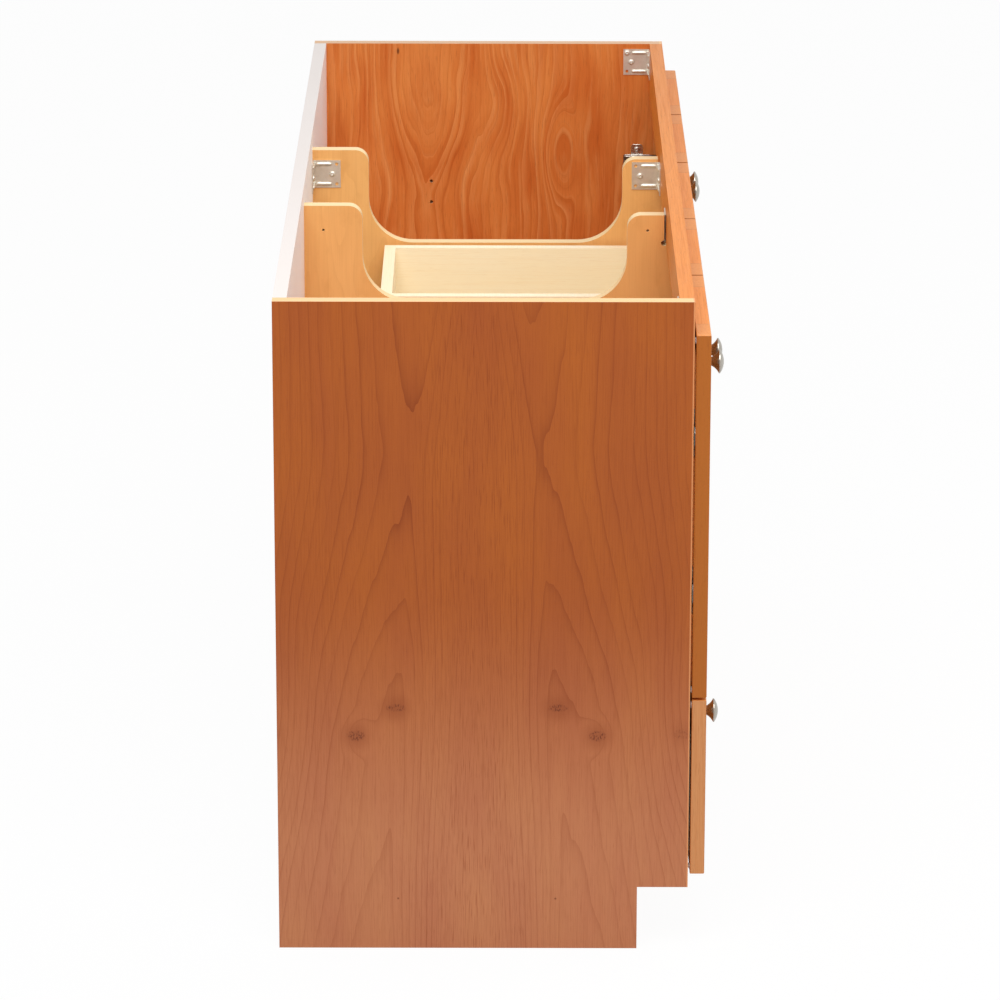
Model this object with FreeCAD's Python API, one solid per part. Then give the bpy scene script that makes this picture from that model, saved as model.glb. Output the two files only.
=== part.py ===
import FreeCAD, Part
import math
import os

# Bathroom vanity cabinet for a double-basin top, millimetres, +Z up, front towards -Y.
# The origin is on the floor, under the middle of the whole outline.

# Case
CASE_LENGTH = 1524.0
CASE_DEPTH = 533.4
CASE_HEIGHT = 876.3
BOARD = 19.0
BACK_BOARD = 18.0
EDGE_BAND = 4.0
BOTTOM_HOUSING = 6.0
TOE_HEIGHT = 86.0
TOE_RECESS = 66.0
MIDDLE_BAY_WIDTH = 304.8
TOP_RAIL_HEIGHT = 76.2
PEG_HOLE_RADIUS = 2.5
PEG_HOLE_DEPTH = 12.0
PEG_HOLE_FROM_BACK = 179.0
PEG_HOLE_DROP = 217.0
PEG_HOLE_PITCH = 33.0

# Scooped partitions
BACK_POST_DROP = 25.4
FRONT_POST_DROP = 38.1
BACK_POST_REACH = 98.0
FRONT_POST_REACH = 72.4
SCOOP_DROP = 161.3
SCOOP_RADIUS = 63.5
POST_RADIUS = 19.0
RAIL_NOTCH_SLACK = 2.8
RAIL_NOTCH_FLOOR_SLACK = 1.0
NOTCH_RELIEF_RADIUS = 4.0
PILOT_HOLE_RADIUS = 1.8
PILOT_HOLE_DEPTH = 10.0
PILOT_HOLE_INSET = 44.5
PILOT_HOLE_DROP = 59.5

# Doors and drawer fronts
FRONT_THICKNESS = 19.0
FRONT_GAP = 2.5
FRONT_SPACING = 4.0
END_REVEAL = 3.0
TOP_REVEAL = 45.0
BOTTOM_REVEAL = 17.7
LOW_FRONT_HEIGHT = 239.3
FRAME_WIDTH = 57.0
PANEL_THICKNESS = 6.0
PANEL_RECESS = 7.0
GROOVE_DEPTH = 10.0
PANEL_SLACK = 1.0
FRONT_EDGE_RADIUS = 1.5
BACK_EDGE_CHAMFER = 0.8

# Knobs
KNOB_PROJECTION = 27.5
KNOB_RADIUS = 16.0
KNOB_STEM_RADIUS = 4.6
KNOB_BASE_RADIUS = 7.0
KNOB_BASE_HEIGHT = 1.6
KNOB_STEM_END = 8.0
KNOB_RIM_START = 21.0
KNOB_RIM_THICKNESS = 1.3
DOOR_KNOB_INSET = 25.4
DOOR_KNOB_DROP = 110.0

# Concealed hinges
HINGE_END_INSET = 137.0
HINGE_AXIS_INSET = 7.2
HINGE_AXIS_DEPTH = 10.2
CUP_EDGE = 3.0
CUP_RADIUS = 17.4
CUP_WALL = 0.8
CUP_DEPTH = 13.4
CUP_BORE_SLACK = 0.1
FLANGE_THICKNESS = 1.0
FLANGE_LIP = 1.5
FLANGE_WING_WIDTH = 20.0
FLANGE_WING_HALF_HEIGHT = 31.0
FLANGE_CORNER_RADIUS = 5.0
PIN_RADIUS = 1.2
PIN_SLACK = 0.05
KNUCKLE_RADIUS = 2.2
KNUCKLE_HALF_HEIGHT = 4.0
ARM_SHEET = 2.0
ARM_SWING_SLACK = 0.5
ARM_ELBOW_RADIUS = 2.5
ARM_FRONT = 4.0
ARM_REAR = 58.0
ARM_HEIGHT = 15.0
ARM_RISE = 9.0
ARM_WALL = 1.3
PLATE_SETBACK = 37.0
PLATE_SHEET = 2.0
PLATE_WING_WIDTH = 18.0
PLATE_WING_HEIGHT = 48.0
PLATE_WING_RADIUS = 4.0
PLATE_SPINE_LENGTH = 40.0
PLATE_SPINE_SLACK = 0.2

# Drawer boxes
BOX_LENGTH = 415.0
BOX_WALL = 16.0
BOX_BOTTOM = 6.0
BOX_BOTTOM_LIFT = 12.0
BOX_HOUSING = 6.0
UPPER_BOX_DROP = 162.0
UPPER_BOX_CLEARANCE = 28.0
LOW_BOX_HEIGHT = 165.0
LOW_BOX_CLEARANCE = 20.0

# Telescopic drawer slides
SLIDE_THICKNESS = 12.7
SLIDE_LENGTH = 400.0
SLIDE_HEIGHT = 45.0
SLIDE_SHEET = 1.2
SLIDE_PLAY = 0.3
SLIDE_SETBACK = 3.0
SLIDE_LIFT = 70.0
CASE_LIP_REACH = 9.0
CARRIAGE_LIP_REACH = 10.0
DRAWER_LIP_START = 3.2

# Corner brackets
BRACKET_LEG = 40.0
BRACKET_HEIGHT = 40.0
BRACKET_SHEET = 1.6
BRACKET_RIB_LENGTH = 24.0
BRACKET_RIB_WIDTH = 4.0
BRACKET_RIB_HEIGHT = 1.4
BRACKET_RIB_INSET = 5.5
BRACKET_GUSSET = 3.0
BRACKET_HOLE_RADIUS = 2.3
BRACKET_HOLE_INSET = 5.5
BRACKET_SCREW_HOLE_AT = 28.0
END_BRACKET_DROP = 8.0
POST_BRACKET_CLEARANCE = 4.0
BACK_BRACKET_CLEARANCE = 14.6

# Planes worked out from the sizes above
OVERALL_DEPTH = CASE_DEPTH + FRONT_GAP + FRONT_THICKNESS + KNOB_PROJECTION
CASE_BACK_Y = OVERALL_DEPTH / 2
CASE_FRONT_Y = CASE_BACK_Y - CASE_DEPTH
BACK_INNER_Y = CASE_BACK_Y - BACK_BOARD
RAIL_INNER_Y = CASE_FRONT_Y + BOARD
FRONT_BACK_Y = CASE_FRONT_Y - FRONT_GAP
FRONT_FACE_Y = FRONT_BACK_Y - FRONT_THICKNESS
TOE_FACE_Y = CASE_FRONT_Y + TOE_RECESS
END_X = CASE_LENGTH / 2
END_INNER_X = END_X - BOARD
MIDDLE_FACE_X = MIDDLE_BAY_WIDTH / 2
SIDE_FACE_X = MIDDLE_FACE_X + BOARD
FLOOR_TOP_Z = TOE_HEIGHT + BOARD
FRONTS_TOP_Z = CASE_HEIGHT - TOP_REVEAL
FRONTS_BOTTOM_Z = TOE_HEIGHT + BOTTOM_REVEAL
SEAM_Z = FRONTS_BOTTOM_Z + LOW_FRONT_HEIGHT
DOOR_BOTTOM_Z = SEAM_Z + FRONT_SPACING
MIDDLE_FRONT_X = MIDDLE_FACE_X + BOARD / 2 - FRONT_SPACING / 2
SIDE_FRONT_INNER_X = MIDDLE_FRONT_X + FRONT_SPACING
SIDE_FRONT_OUTER_X = END_X - END_REVEAL
DOOR_MEET_X = (SIDE_FRONT_INNER_X + SIDE_FRONT_OUTER_X) / 2
HINGE_HEIGHTS = (DOOR_BOTTOM_Z + HINGE_END_INSET, FRONTS_TOP_Z - HINGE_END_INSET)
LOW_BOX_Z = FLOOR_TOP_Z + LOW_BOX_CLEARANCE
UPPER_BOX_Z = DOOR_BOTTOM_Z + UPPER_BOX_CLEARANCE
UPPER_BOX_HEIGHT = CASE_HEIGHT - UPPER_BOX_DROP - UPPER_BOX_Z
SHELF_Z = SEAM_Z + FRONT_SPACING / 2 - BOARD / 2


def point(x, y, z):
    return FreeCAD.Vector(x, y, z)


def box(x, y, z):
    """A box between the two values of each pair, given in either order."""
    low = point(min(x), min(y), min(z))
    high = point(max(x), max(y), max(z))
    return Part.makeBox(high.x - low.x, high.y - low.y, high.z - low.z, low)


def rounded_face(corners, place):
    """A flat face from (u, v, radius) corners, with tangent arcs at the rounded ones."""
    starts, arcs = [], []
    count = len(corners)
    for index, (u, v, radius) in enumerate(corners):
        here = point(u, v, 0)
        before = point(*corners[index - 1][:2], 0) - here
        after = point(*corners[(index + 1) % count][:2], 0) - here
        before.normalize()
        after.normalize()
        if radius == 0:
            starts.append((here, here))
            arcs.append(None)
            continue
        half_angle = before.getAngle(after) / 2
        bisector = (before + after).normalize()
        reach = radius / math.tan(half_angle)
        middle = here + bisector * (radius / math.sin(half_angle) - radius)
        starts.append((here + before * reach, here + after * reach))
        arcs.append(middle)
    edges = []
    for index in range(count):
        enter, leave = starts[index]
        if arcs[index] is not None:
            edges.append(Part.Arc(place(enter), place(arcs[index]), place(leave)).toShape())
        follow = starts[(index + 1) % count][0]
        if leave.distanceToPoint(follow) > 1e-6:
            edges.append(Part.LineSegment(place(leave), place(follow)).toShape())
    return Part.Face(Part.Wire(edges))


def plate_x(corners, x0, thickness):
    """An outline in Y and Z, given thickness along X."""
    face = rounded_face(corners, lambda p: point(x0, p.x, p.y))
    return face.extrude(point(thickness, 0, 0))


def plate_y(corners, y0, thickness):
    """An outline in X and Z, given thickness along Y."""
    face = rounded_face(corners, lambda p: point(p.x, y0, p.y))
    return face.extrude(point(0, thickness, 0))


def plate_z(corners, z0, thickness):
    """An outline in X and Y, given thickness along Z."""
    face = rounded_face(corners, lambda p: point(p.x, p.y, z0))
    return face.extrude(point(0, 0, thickness))


def rectangle(u, v, radius):
    return [(u[0], v[0], radius), (u[1], v[0], radius), (u[1], v[1], radius), (u[0], v[1], radius)]


def flipped(shape):
    """The same piece for the other end of the cabinet."""
    return shape.mirror(point(0, 0, 0), point(1, 0, 0))


def moved(shape, x, y, z):
    copy = shape.copy()
    copy.translate(point(x, y, z))
    return copy


def export(name, *solids):
    shape = solids[0] if len(solids) == 1 else Part.makeCompound(list(solids))
    shape.exportStep("parts/" + name + ".step")


# Case panels

def left_end_panel():
    outline = [
        (CASE_BACK_Y, 0, 0),
        (CASE_BACK_Y, CASE_HEIGHT, 0),
        (CASE_FRONT_Y + EDGE_BAND, CASE_HEIGHT, 0),
        (CASE_FRONT_Y + EDGE_BAND, TOE_HEIGHT, 0),
        (TOE_FACE_Y, TOE_HEIGHT, 0),
        (TOE_FACE_Y, 0, 0),
    ]
    panel = plate_x(outline, -END_X, BOARD)
    housing = box(
        (-END_INNER_X - BOTTOM_HOUSING, -END_INNER_X),
        (CASE_FRONT_Y + EDGE_BAND, BACK_INNER_Y),
        (TOE_HEIGHT, FLOOR_TOP_Z),
    )
    panel = panel.cut(housing)
    hole_y = CASE_BACK_Y - PEG_HOLE_FROM_BACK
    upper_hole_z = CASE_HEIGHT - PEG_HOLE_DROP
    for hole_z in (upper_hole_z, upper_hole_z - PEG_HOLE_PITCH):
        mouth = point(-END_INNER_X, hole_y, hole_z)
        panel = panel.cut(Part.makeCylinder(PEG_HOLE_RADIUS, PEG_HOLE_DEPTH, mouth, point(-1, 0, 0)))
    return panel


def left_edge_band():
    return box(
        (-END_X, -END_INNER_X),
        (CASE_FRONT_Y, CASE_FRONT_Y + EDGE_BAND),
        (TOE_HEIGHT, CASE_HEIGHT),
    )


def back_panel():
    return box((-END_INNER_X, END_INNER_X), (BACK_INNER_Y, CASE_BACK_Y), (0, CASE_HEIGHT))


def bottom_panel():
    """The floor of the case, housed in both end panels behind their edge bands."""
    middle = box((-END_INNER_X, END_INNER_X), (CASE_FRONT_Y, BACK_INNER_Y), (TOE_HEIGHT, FLOOR_TOP_Z))
    housed_x = END_INNER_X + BOTTOM_HOUSING
    housed = box(
        (-housed_x, housed_x), (CASE_FRONT_Y + EDGE_BAND, BACK_INNER_Y), (TOE_HEIGHT, FLOOR_TOP_Z)
    )
    return middle.fuse(housed).removeSplitter()


def toe_kick_board():
    return box((-END_INNER_X, END_INNER_X), (TOE_FACE_Y, TOE_FACE_Y + BOARD), (0, TOE_HEIGHT))


def left_partition():
    """A divider with a scoop for the basin, notched for the top rail, with a pilot hole in each post."""
    notch_y = RAIL_INNER_Y + RAIL_NOTCH_SLACK
    notch_z = CASE_HEIGHT - TOP_RAIL_HEIGHT - RAIL_NOTCH_FLOOR_SLACK
    outline = [
        (BACK_INNER_Y, FLOOR_TOP_Z, 0),
        (BACK_INNER_Y, CASE_HEIGHT - BACK_POST_DROP, 0),
        (CASE_BACK_Y - BACK_POST_REACH, CASE_HEIGHT - BACK_POST_DROP, POST_RADIUS),
        (CASE_BACK_Y - BACK_POST_REACH, CASE_HEIGHT - SCOOP_DROP, SCOOP_RADIUS),
        (CASE_FRONT_Y + FRONT_POST_REACH, CASE_HEIGHT - SCOOP_DROP, SCOOP_RADIUS),
        (CASE_FRONT_Y + FRONT_POST_REACH, CASE_HEIGHT - FRONT_POST_DROP, POST_RADIUS),
        (notch_y, CASE_HEIGHT - FRONT_POST_DROP, 0),
        (notch_y, notch_z, 0),
        (CASE_FRONT_Y, notch_z, 0),
        (CASE_FRONT_Y, FLOOR_TOP_Z, 0),
    ]
    board = plate_x(outline, -SIDE_FACE_X, BOARD)
    corner = point(-SIDE_FACE_X, notch_y, notch_z)
    relief = Part.makeCylinder(NOTCH_RELIEF_RADIUS, BOARD, corner, point(1, 0, 0))
    board = board.cut(relief)
    for hole_y in (CASE_BACK_Y - PILOT_HOLE_INSET, CASE_FRONT_Y + PILOT_HOLE_INSET):
        mouth = point(-SIDE_FACE_X, hole_y, CASE_HEIGHT - PILOT_HOLE_DROP)
        pilot = Part.makeCylinder(PILOT_HOLE_RADIUS, PILOT_HOLE_DEPTH, mouth, point(1, 0, 0))
        board = board.cut(pilot)
    return board


def front_top_rail():
    return box(
        (-END_INNER_X, END_INNER_X),
        (CASE_FRONT_Y, RAIL_INNER_Y),
        (CASE_HEIGHT - TOP_RAIL_HEIGHT, CASE_HEIGHT),
    )


def left_bay_shelf():
    """The fixed floor of the door compartment, above the bottom drawer."""
    return box((-END_INNER_X, -SIDE_FACE_X), (CASE_FRONT_Y, BACK_INNER_Y), (SHELF_Z, SHELF_Z + BOARD))


# Corner brackets

def corner_bracket():
    """A stamped angle in a corner at the origin, with its legs along +X and +Y."""
    sheet = BRACKET_SHEET
    angle = [
        (0, 0, 0),
        (BRACKET_LEG, 0, 0),
        (BRACKET_LEG, sheet, 0),
        (sheet, sheet, 0),
        (sheet, BRACKET_LEG, 0),
        (0, BRACKET_LEG, 0),
    ]
    bracket = plate_z(angle, 0, BRACKET_HEIGHT)
    proud = sheet + BRACKET_RIB_HEIGHT
    rib = [
        (sheet / 2, sheet / 2, 0),
        (BRACKET_RIB_LENGTH, sheet / 2, 0),
        (BRACKET_RIB_LENGTH, proud, 0),
        (proud + BRACKET_GUSSET, proud, 0),
        (proud, proud + BRACKET_GUSSET, 0),
        (proud, BRACKET_RIB_LENGTH, 0),
        (sheet / 2, BRACKET_RIB_LENGTH, 0),
    ]
    for middle in (BRACKET_RIB_INSET, BRACKET_HEIGHT - BRACKET_RIB_INSET):
        bracket = bracket.fuse(plate_z(rib, middle - BRACKET_RIB_WIDTH / 2, BRACKET_RIB_WIDTH))
    outer = BRACKET_LEG - BRACKET_HOLE_INSET
    places = (
        (outer, BRACKET_HOLE_INSET),
        (outer, BRACKET_HEIGHT - BRACKET_HOLE_INSET),
        (BRACKET_SCREW_HOLE_AT, BRACKET_HEIGHT / 2),
    )
    for along, up in places:
        for start, way in ((point(0, along, up), point(1, 0, 0)), (point(along, 0, up), point(0, 1, 0))):
            bracket = bracket.cut(Part.makeCylinder(BRACKET_HOLE_RADIUS, sheet, start, way))
    return bracket.removeSplitter()


def left_corner_brackets():
    """End panel to rail, partition to rail, and partition to back, on the left half."""
    bracket = corner_bracket()
    end_z = CASE_HEIGHT - END_BRACKET_DROP - BRACKET_HEIGHT
    post_z = CASE_HEIGHT - FRONT_POST_DROP - POST_BRACKET_CLEARANCE - BRACKET_HEIGHT
    back_z = CASE_HEIGHT - BACK_POST_DROP - BACK_BRACKET_CLEARANCE - BRACKET_HEIGHT
    backward = bracket.mirror(point(0, 0, 0), point(0, 1, 0))
    return [
        moved(bracket, -END_INNER_X, RAIL_INNER_Y, end_z),
        moved(bracket, -MIDDLE_FACE_X, RAIL_INNER_Y, post_z),
        moved(backward, -MIDDLE_FACE_X, BACK_INNER_Y, back_z),
    ]


# Concealed hinges, drawn with the door's hinge edge at x 0 and the case's front plane at y 0

AXIS_Y = -FRONT_GAP - HINGE_AXIS_DEPTH
CUP_X = CUP_EDGE + CUP_RADIUS
OUTER_PLATE_X = BOARD - END_REVEAL
INNER_PLATE_X = (BOARD - FRONT_SPACING) / 2


def hinge_plate(plate_x0):
    """A cross-shaped mounting plate on the side board, with the spine that the arm clips over."""
    wings = rectangle(
        (PLATE_SETBACK - PLATE_WING_WIDTH / 2, PLATE_SETBACK + PLATE_WING_WIDTH / 2),
        (-PLATE_WING_HEIGHT / 2, PLATE_WING_HEIGHT / 2),
        PLATE_WING_RADIUS,
    )
    plate = plate_x(wings, plate_x0, PLATE_SHEET)
    spine_half = ARM_HEIGHT / 2 - ARM_WALL - PLATE_SPINE_SLACK
    spine = box(
        (plate_x0, plate_x0 + PLATE_SHEET + ARM_RISE - ARM_WALL),
        (PLATE_SETBACK - PLATE_SPINE_LENGTH / 2, PLATE_SETBACK + PLATE_SPINE_LENGTH / 2),
        (-spine_half, spine_half),
    )
    return plate.fuse(spine).removeSplitter()


def hinge_arm(plate_x0):
    """A channel over the plate's spine, with a cranked neck into the cup and a knuckle on the pin."""
    base_x = plate_x0 + PLATE_SHEET
    swing_x = HINGE_AXIS_INSET + HINGE_AXIS_DEPTH + FLANGE_THICKNESS + ARM_SWING_SLACK
    neck_x = max(swing_x, base_x)
    neck = [
        (HINGE_AXIS_INSET, AXIS_Y - ARM_SHEET / 2, 0),
        (neck_x + ARM_SHEET, AXIS_Y - ARM_SHEET / 2, ARM_ELBOW_RADIUS),
        (neck_x + ARM_SHEET, ARM_FRONT + ARM_WALL, 0),
        (neck_x, ARM_FRONT + ARM_WALL, 0),
        (neck_x, AXIS_Y + ARM_SHEET / 2, 0),
        (HINGE_AXIS_INSET, AXIS_Y + ARM_SHEET / 2, 0),
    ]
    arm = plate_z(neck, -KNUCKLE_HALF_HEIGHT, 2 * KNUCKLE_HALF_HEIGHT)
    top_x = max(base_x + ARM_RISE, neck_x + ARM_SHEET)
    bridge = box(
        (base_x, top_x), (ARM_FRONT, ARM_FRONT + ARM_WALL), (-ARM_HEIGHT / 2, ARM_HEIGHT / 2)
    )
    channel = box((base_x, base_x + ARM_RISE), (ARM_FRONT, ARM_REAR), (-ARM_HEIGHT / 2, ARM_HEIGHT / 2))
    inside = box(
        (base_x, base_x + ARM_RISE - ARM_WALL),
        (ARM_FRONT + ARM_WALL, ARM_REAR),
        (-ARM_HEIGHT / 2 + ARM_WALL, ARM_HEIGHT / 2 - ARM_WALL),
    )
    knuckle = hinge_cylinder(KNUCKLE_RADIUS, KNUCKLE_HALF_HEIGHT)
    bore = hinge_cylinder(PIN_RADIUS + PIN_SLACK, KNUCKLE_HALF_HEIGHT)
    arm = arm.fuse([bridge, channel.cut(inside), knuckle])
    return arm.cut(bore).removeSplitter()


def hinge_cylinder(radius, half_height):
    start = point(HINGE_AXIS_INSET, AXIS_Y, -half_height)
    return Part.makeCylinder(radius, 2 * half_height, start)


def hinge_pin():
    """The pivot, carried in the knuckle, with its ends in the two walls of the cup."""
    near_side = HINGE_AXIS_INSET - PIN_RADIUS
    chord = math.sqrt(CUP_RADIUS ** 2 - (CUP_X - near_side) ** 2)
    return hinge_cylinder(PIN_RADIUS, chord)


def cup_bore():
    start = point(CUP_X, -FRONT_GAP, 0)
    return Part.makeCylinder(
        CUP_RADIUS + CUP_BORE_SLACK, CUP_DEPTH + CUP_BORE_SLACK, start, point(0, -1, 0)
    )


def hinge_cup():
    """A pressed cup sunk in the door, with its screw flange on the door's back."""
    start = point(CUP_X, -FRONT_GAP, 0)
    inward = point(0, -1, 0)
    body = Part.makeCylinder(CUP_RADIUS, CUP_DEPTH, start, inward)
    lip = Part.makeCylinder(CUP_RADIUS + FLANGE_LIP, FLANGE_THICKNESS, start, point(0, 1, 0))
    side = box((CUP_EDGE, CUP_X), (-FRONT_GAP, FLANGE_THICKNESS - FRONT_GAP), (-CUP_RADIUS, CUP_RADIUS))
    front_half = box((CUP_X, CUP_X + 2 * CUP_RADIUS), (-FRONT_GAP, FLANGE_THICKNESS - FRONT_GAP),
                     (-2 * CUP_RADIUS, 2 * CUP_RADIUS))
    rim = lip.common(side.fuse(front_half))
    wing = rectangle(
        (CUP_X, CUP_X + FLANGE_WING_WIDTH),
        (-FLANGE_WING_HALF_HEIGHT, FLANGE_WING_HALF_HEIGHT),
        FLANGE_CORNER_RADIUS,
    )
    flange = plate_y(wing, -FRONT_GAP, FLANGE_THICKNESS)
    hollow_start = point(CUP_X, FLANGE_THICKNESS - FRONT_GAP, 0)
    hollow = Part.makeCylinder(
        CUP_RADIUS - CUP_WALL, FLANGE_THICKNESS + CUP_DEPTH - CUP_WALL, hollow_start, inward
    )
    pin_hole = hinge_cylinder(PIN_RADIUS + PIN_SLACK, CUP_RADIUS)
    return body.fuse([rim, flange]).cut(hollow).cut(pin_hole).removeSplitter()


def hung(piece, hinge_edge_x, opens_inward):
    """Two copies of a hinge piece at the hinge heights, turned for a door hung on its other edge."""
    shape = piece if opens_inward else flipped(piece)
    return [moved(shape, hinge_edge_x, CASE_FRONT_Y, z) for z in HINGE_HEIGHTS]


# Framed fronts

def eased_slab(x, z):
    """The outline of a framed front, with its face edges rounded and its back edges chamfered."""
    slab = box(x, (FRONT_FACE_Y, FRONT_BACK_Y), z)
    face_edges = [e for e in slab.Edges if abs(e.BoundBox.YMax - FRONT_FACE_Y) < 1e-6]
    slab = slab.makeFillet(FRONT_EDGE_RADIUS, face_edges)
    back_edges = [e for e in slab.Edges if abs(e.BoundBox.YMin - FRONT_BACK_Y) < 1e-6]
    return slab.makeChamfer(BACK_EDGE_CHAMFER, back_edges)


def framed_front(x, z):
    """Two stiles, two rails tongued into them, and the panel that floats in their grooves."""
    slab = eased_slab(x, z)
    whole_y = (FRONT_FACE_Y, FRONT_BACK_Y)
    groove_y = (FRONT_FACE_Y + PANEL_RECESS, FRONT_FACE_Y + PANEL_RECESS + PANEL_THICKNESS)
    inner_x = (x[0] + FRAME_WIDTH, x[1] - FRAME_WIDTH)
    inner_z = (z[0] + FRAME_WIDTH, z[1] - FRAME_WIDTH)
    groove_x = (inner_x[0] - GROOVE_DEPTH, inner_x[1] + GROOVE_DEPTH)
    groove_z = (inner_z[0] - GROOVE_DEPTH, inner_z[1] + GROOVE_DEPTH)
    stile_groove = box(groove_x, groove_y, z)
    rail_groove = box(groove_x, groove_y, groove_z)
    stiles = [
        slab.common(box((x[0], inner_x[0]), whole_y, z)).cut(stile_groove),
        slab.common(box((inner_x[1], x[1]), whole_y, z)).cut(stile_groove),
    ]
    rails = []
    for span in ((z[0], inner_z[0]), (inner_z[1], z[1])):
        rail = slab.common(box(inner_x, whole_y, span))
        tongue = box(groove_x, groove_y, span)
        rails.append(rail.fuse(tongue).cut(rail_groove).removeSplitter())
    panel = box(
        (groove_x[0] + PANEL_SLACK, groove_x[1] - PANEL_SLACK),
        groove_y,
        (groove_z[0] + PANEL_SLACK, groove_z[1] - PANEL_SLACK),
    )
    return stiles, rails, panel


def knob(x, z):
    """A turned mushroom knob: foot, waist, hollow cone to a thin rim, domed face."""
    rim_back = point(KNOB_RADIUS, -KNOB_RIM_START, 0)
    rim_front = point(KNOB_RADIUS, -KNOB_RIM_START - KNOB_RIM_THICKNESS, 0)
    waist_end = point(KNOB_STEM_RADIUS, -KNOB_STEM_END, 0)
    cone_middle = (waist_end + rim_back) * 0.5 + point(-1.0, -1.0, 0) * KNOB_RIM_THICKNESS
    foot = point(KNOB_BASE_RADIUS, -KNOB_BASE_HEIGHT, 0)
    waist_start = point(KNOB_STEM_RADIUS, -2 * KNOB_BASE_HEIGHT, 0)
    tip = point(0, -KNOB_PROJECTION, 0)
    rise = tip.y - rim_front.y
    dome_radius = (KNOB_RADIUS ** 2 + rise ** 2) / (2 * abs(rise))
    dome_centre = point(0, tip.y + dome_radius, 0)
    half_turn = math.asin(KNOB_RADIUS / dome_radius) / 2
    dome_middle = dome_centre + point(math.sin(half_turn), -math.cos(half_turn), 0) * dome_radius
    edges = [
        Part.LineSegment(point(0, 0, 0), point(KNOB_BASE_RADIUS, 0, 0)),
        Part.LineSegment(point(KNOB_BASE_RADIUS, 0, 0), foot),
        Part.LineSegment(foot, waist_start),
        Part.LineSegment(waist_start, waist_end),
        Part.Arc(waist_end, cone_middle, rim_back),
        Part.LineSegment(rim_back, rim_front),
        Part.Arc(rim_front, dome_middle, tip),
        Part.LineSegment(tip, point(0, 0, 0)),
    ]
    face = Part.Face(Part.Wire([e.toShape() for e in edges]))
    turned = face.revolve(point(0, 0, 0), point(0, 1, 0), 360)
    return moved(turned, x, FRONT_FACE_Y, z)


def make_door(name, x, hinge_edge_x, opens_inward, knob_x):
    stiles, rails, panel = framed_front(x, (DOOR_BOTTOM_Z, FRONTS_TOP_Z))
    for bore in hung(cup_bore(), hinge_edge_x, opens_inward):
        stiles = [stile.cut(bore) for stile in stiles]
    export(name + "_frame", *stiles, *rails)
    export(name + "_panel", panel)
    export(name + "_hinge_cups", *hung(hinge_cup(), hinge_edge_x, opens_inward))
    export(name + "_knob", knob(knob_x, FRONTS_TOP_Z - DOOR_KNOB_DROP))


# Drawers and their slides

def drawer_box(x, bottom_z, height):
    """Two sides, a front and a back housed in them, and a bottom in grooves all round."""
    y = (FRONT_BACK_Y, FRONT_BACK_Y + BOX_LENGTH)
    z = (bottom_z, bottom_z + height)
    inner_x = (x[0] + BOX_WALL, x[1] - BOX_WALL)
    inner_y = (y[0] + BOX_WALL, y[1] - BOX_WALL)
    housed_x = (inner_x[0] - BOX_HOUSING, inner_x[1] + BOX_HOUSING)
    housed_y = (inner_y[0] - BOX_HOUSING, inner_y[1] + BOX_HOUSING)
    bottom = box(
        housed_x, housed_y, (bottom_z + BOX_BOTTOM_LIFT, bottom_z + BOX_BOTTOM_LIFT + BOX_BOTTOM)
    )
    front = box(housed_x, (y[0], inner_y[0]), z)
    back = box(housed_x, (inner_y[1], y[1]), z)
    left = box((x[0], inner_x[0]), y, z)
    right = box((inner_x[1], x[1]), y, z)
    sides = [side.cut([front, back, bottom]) for side in (left, right)]
    return sides + [front.cut(bottom), back.cut(bottom), bottom]


def slide_channel(web_x, lip_x, half_height):
    """A channel lying along Y in the gap beside a drawer, centred at height 0."""
    wall = math.copysign(SLIDE_SHEET, lip_x - web_x)
    inner = half_height - SLIDE_SHEET
    outline = [
        (web_x, -half_height, 0),
        (lip_x, -half_height, 0),
        (lip_x, -inner, 0),
        (web_x + wall, -inner, 0),
        (web_x + wall, inner, 0),
        (lip_x, inner, 0),
        (lip_x, half_height, 0),
        (web_x, half_height, 0),
    ]
    return plate_y(outline, CASE_FRONT_Y + SLIDE_SETBACK, SLIDE_LENGTH)


CASE_HALF = SLIDE_HEIGHT / 2
CARRIAGE_HALF = CASE_HALF - SLIDE_SHEET - SLIDE_PLAY
DRAWER_HALF = CARRIAGE_HALF - SLIDE_SHEET - SLIDE_PLAY
SLIDE_MEMBERS = {
    "case": slide_channel(0, CASE_LIP_REACH, CASE_HALF),
    "carriage": slide_channel(SLIDE_SHEET + SLIDE_PLAY, CARRIAGE_LIP_REACH, CARRIAGE_HALF),
    "drawer": slide_channel(SLIDE_THICKNESS, DRAWER_LIP_START, DRAWER_HALF),
}


def slide_pair(member, bay_x, height):
    """One member of the slides at both sides of a drawer bay."""
    channel = SLIDE_MEMBERS[member]
    return [moved(channel, bay_x[0], 0, height), moved(flipped(channel), bay_x[1], 0, height)]


def make_drawer(name, bay_x, front_x, front_z, box_z, box_height):
    stiles, rails, panel = framed_front(front_x, front_z)
    export(name + "_front_frame", *stiles, *rails)
    export(name + "_front_panel", panel)
    box_x = (bay_x[0] + SLIDE_THICKNESS, bay_x[1] - SLIDE_THICKNESS)
    export(name + "_box", *drawer_box(box_x, box_z, box_height))
    export(name + "_knob", knob(sum(front_x) / 2, sum(front_z) / 2))
    slide_z = box_z + SLIDE_LIFT
    export(name + "_slide_members", *slide_pair("drawer", bay_x, slide_z))
    export(name + "_slide_carriages", *slide_pair("carriage", bay_x, slide_z))
    return slide_pair("case", bay_x, slide_z)


# Write every piece

os.makedirs("parts", exist_ok=True)

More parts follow.
